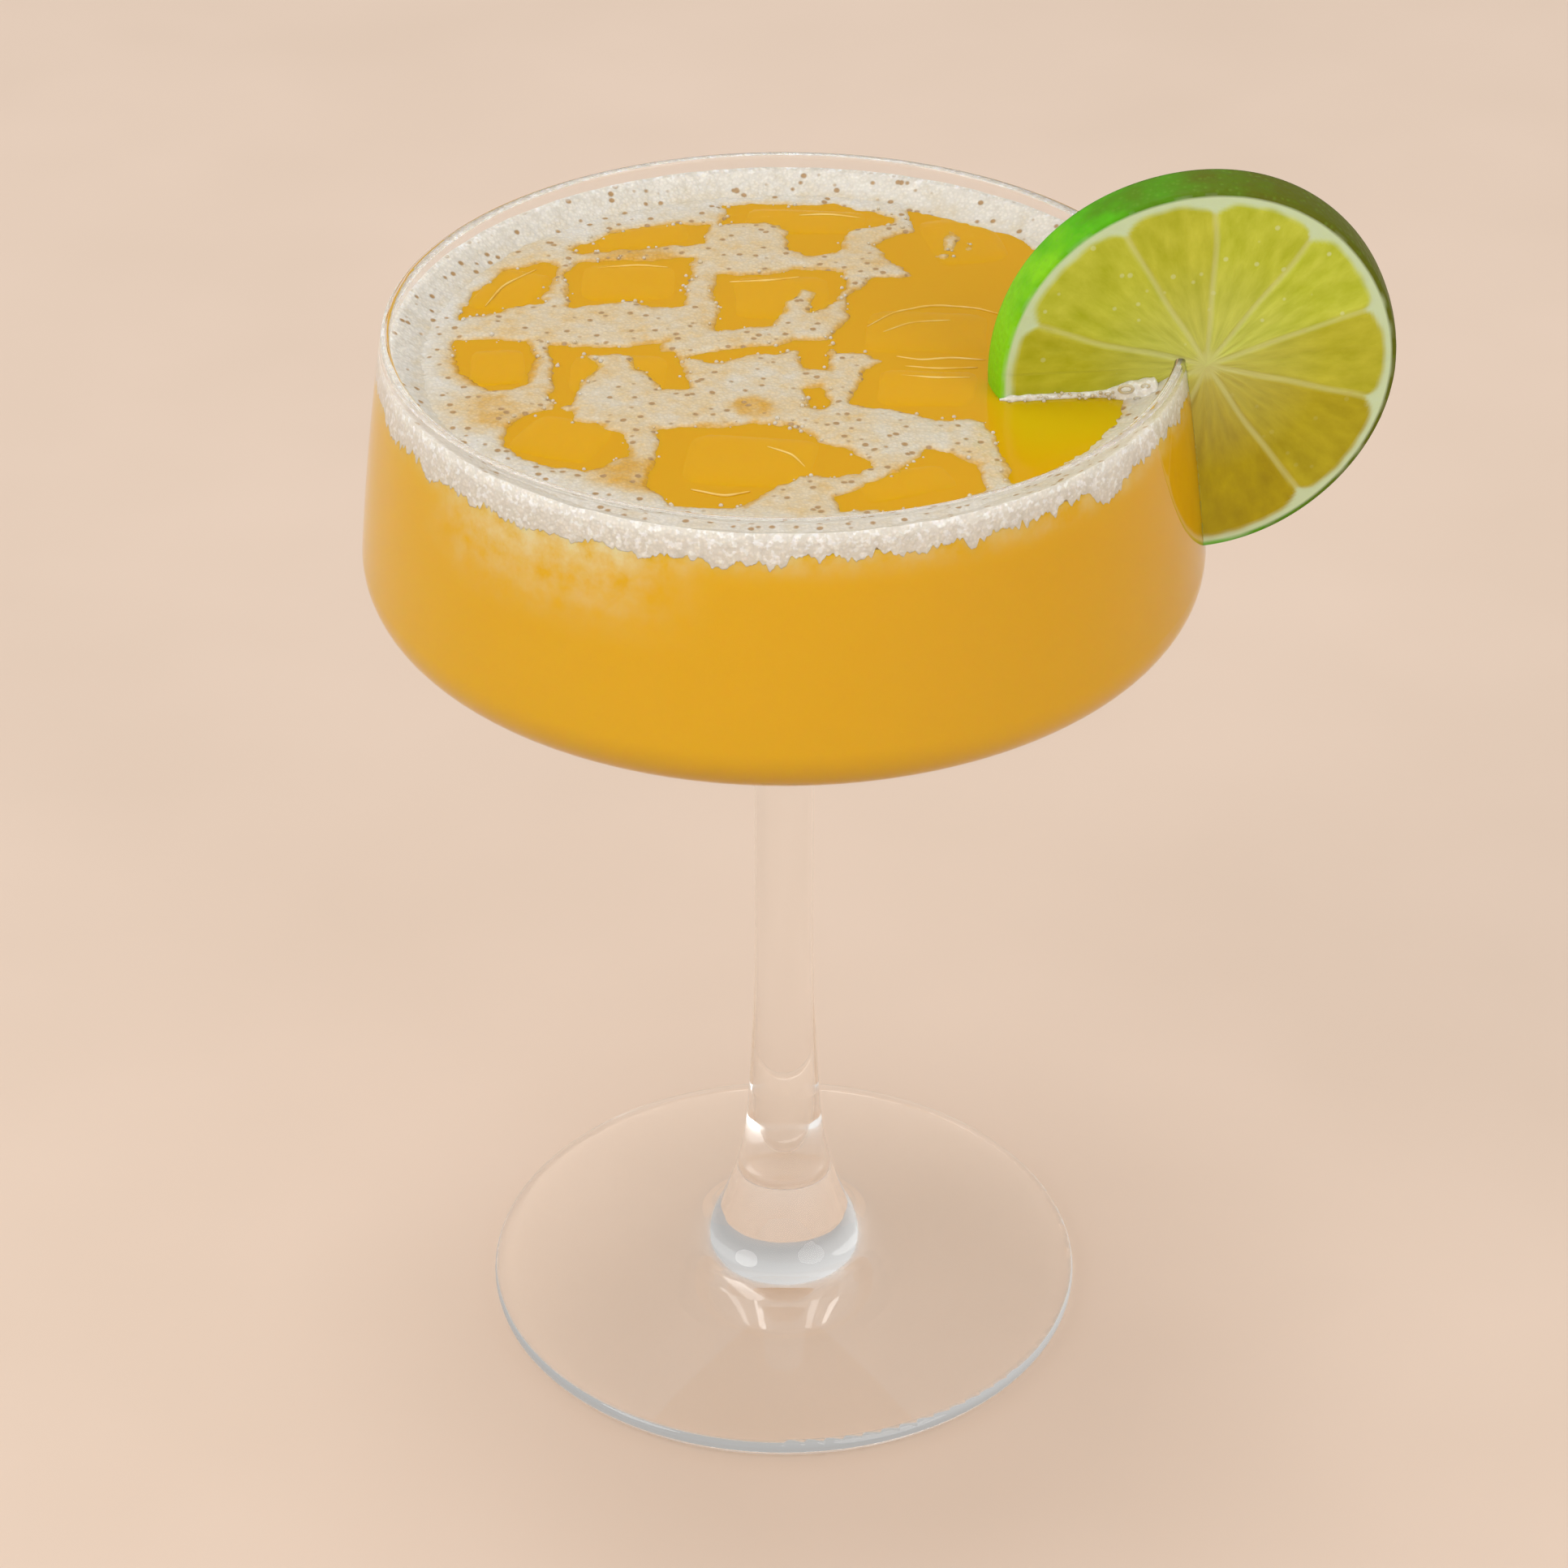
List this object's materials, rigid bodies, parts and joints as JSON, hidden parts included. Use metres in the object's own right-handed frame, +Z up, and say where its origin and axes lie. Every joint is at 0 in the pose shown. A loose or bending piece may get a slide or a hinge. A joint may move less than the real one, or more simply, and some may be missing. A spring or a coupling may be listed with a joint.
{
  "type": "margarita cocktail in a coupe glass",
  "caption": "Golden-orange cocktail with pale froth and ice in a stemmed coupe glass, with a round slice of lime slit and hung over the rim.",
  "frame": {"origin": "centre of the foot's flat underside, on the glass axis", "axes": "+Z up along the stem; +X from the glass axis towards the side where the lime wheel hangs; -Y the side that the wheel's front face looks to"},
  "size_m": [0.1293, 0.1074, 0.173],
  "materials": {
    "clear_glass": "clear polished soda-lime glass with a rounded lip",
    "drink": "cloudy golden-orange liquid with a still, glossy top",
    "foam": "fine off-white froth with small open bubbles",
    "lime": "wet cut lime: green rind, pale pith, yellow-green pulp"
  },
  "bodies": {
    "root": {"glass": "clear_glass", "drink": "drink", "foam": "foam", "lime_wheel": "lime"}
  },
  "joints": []
}
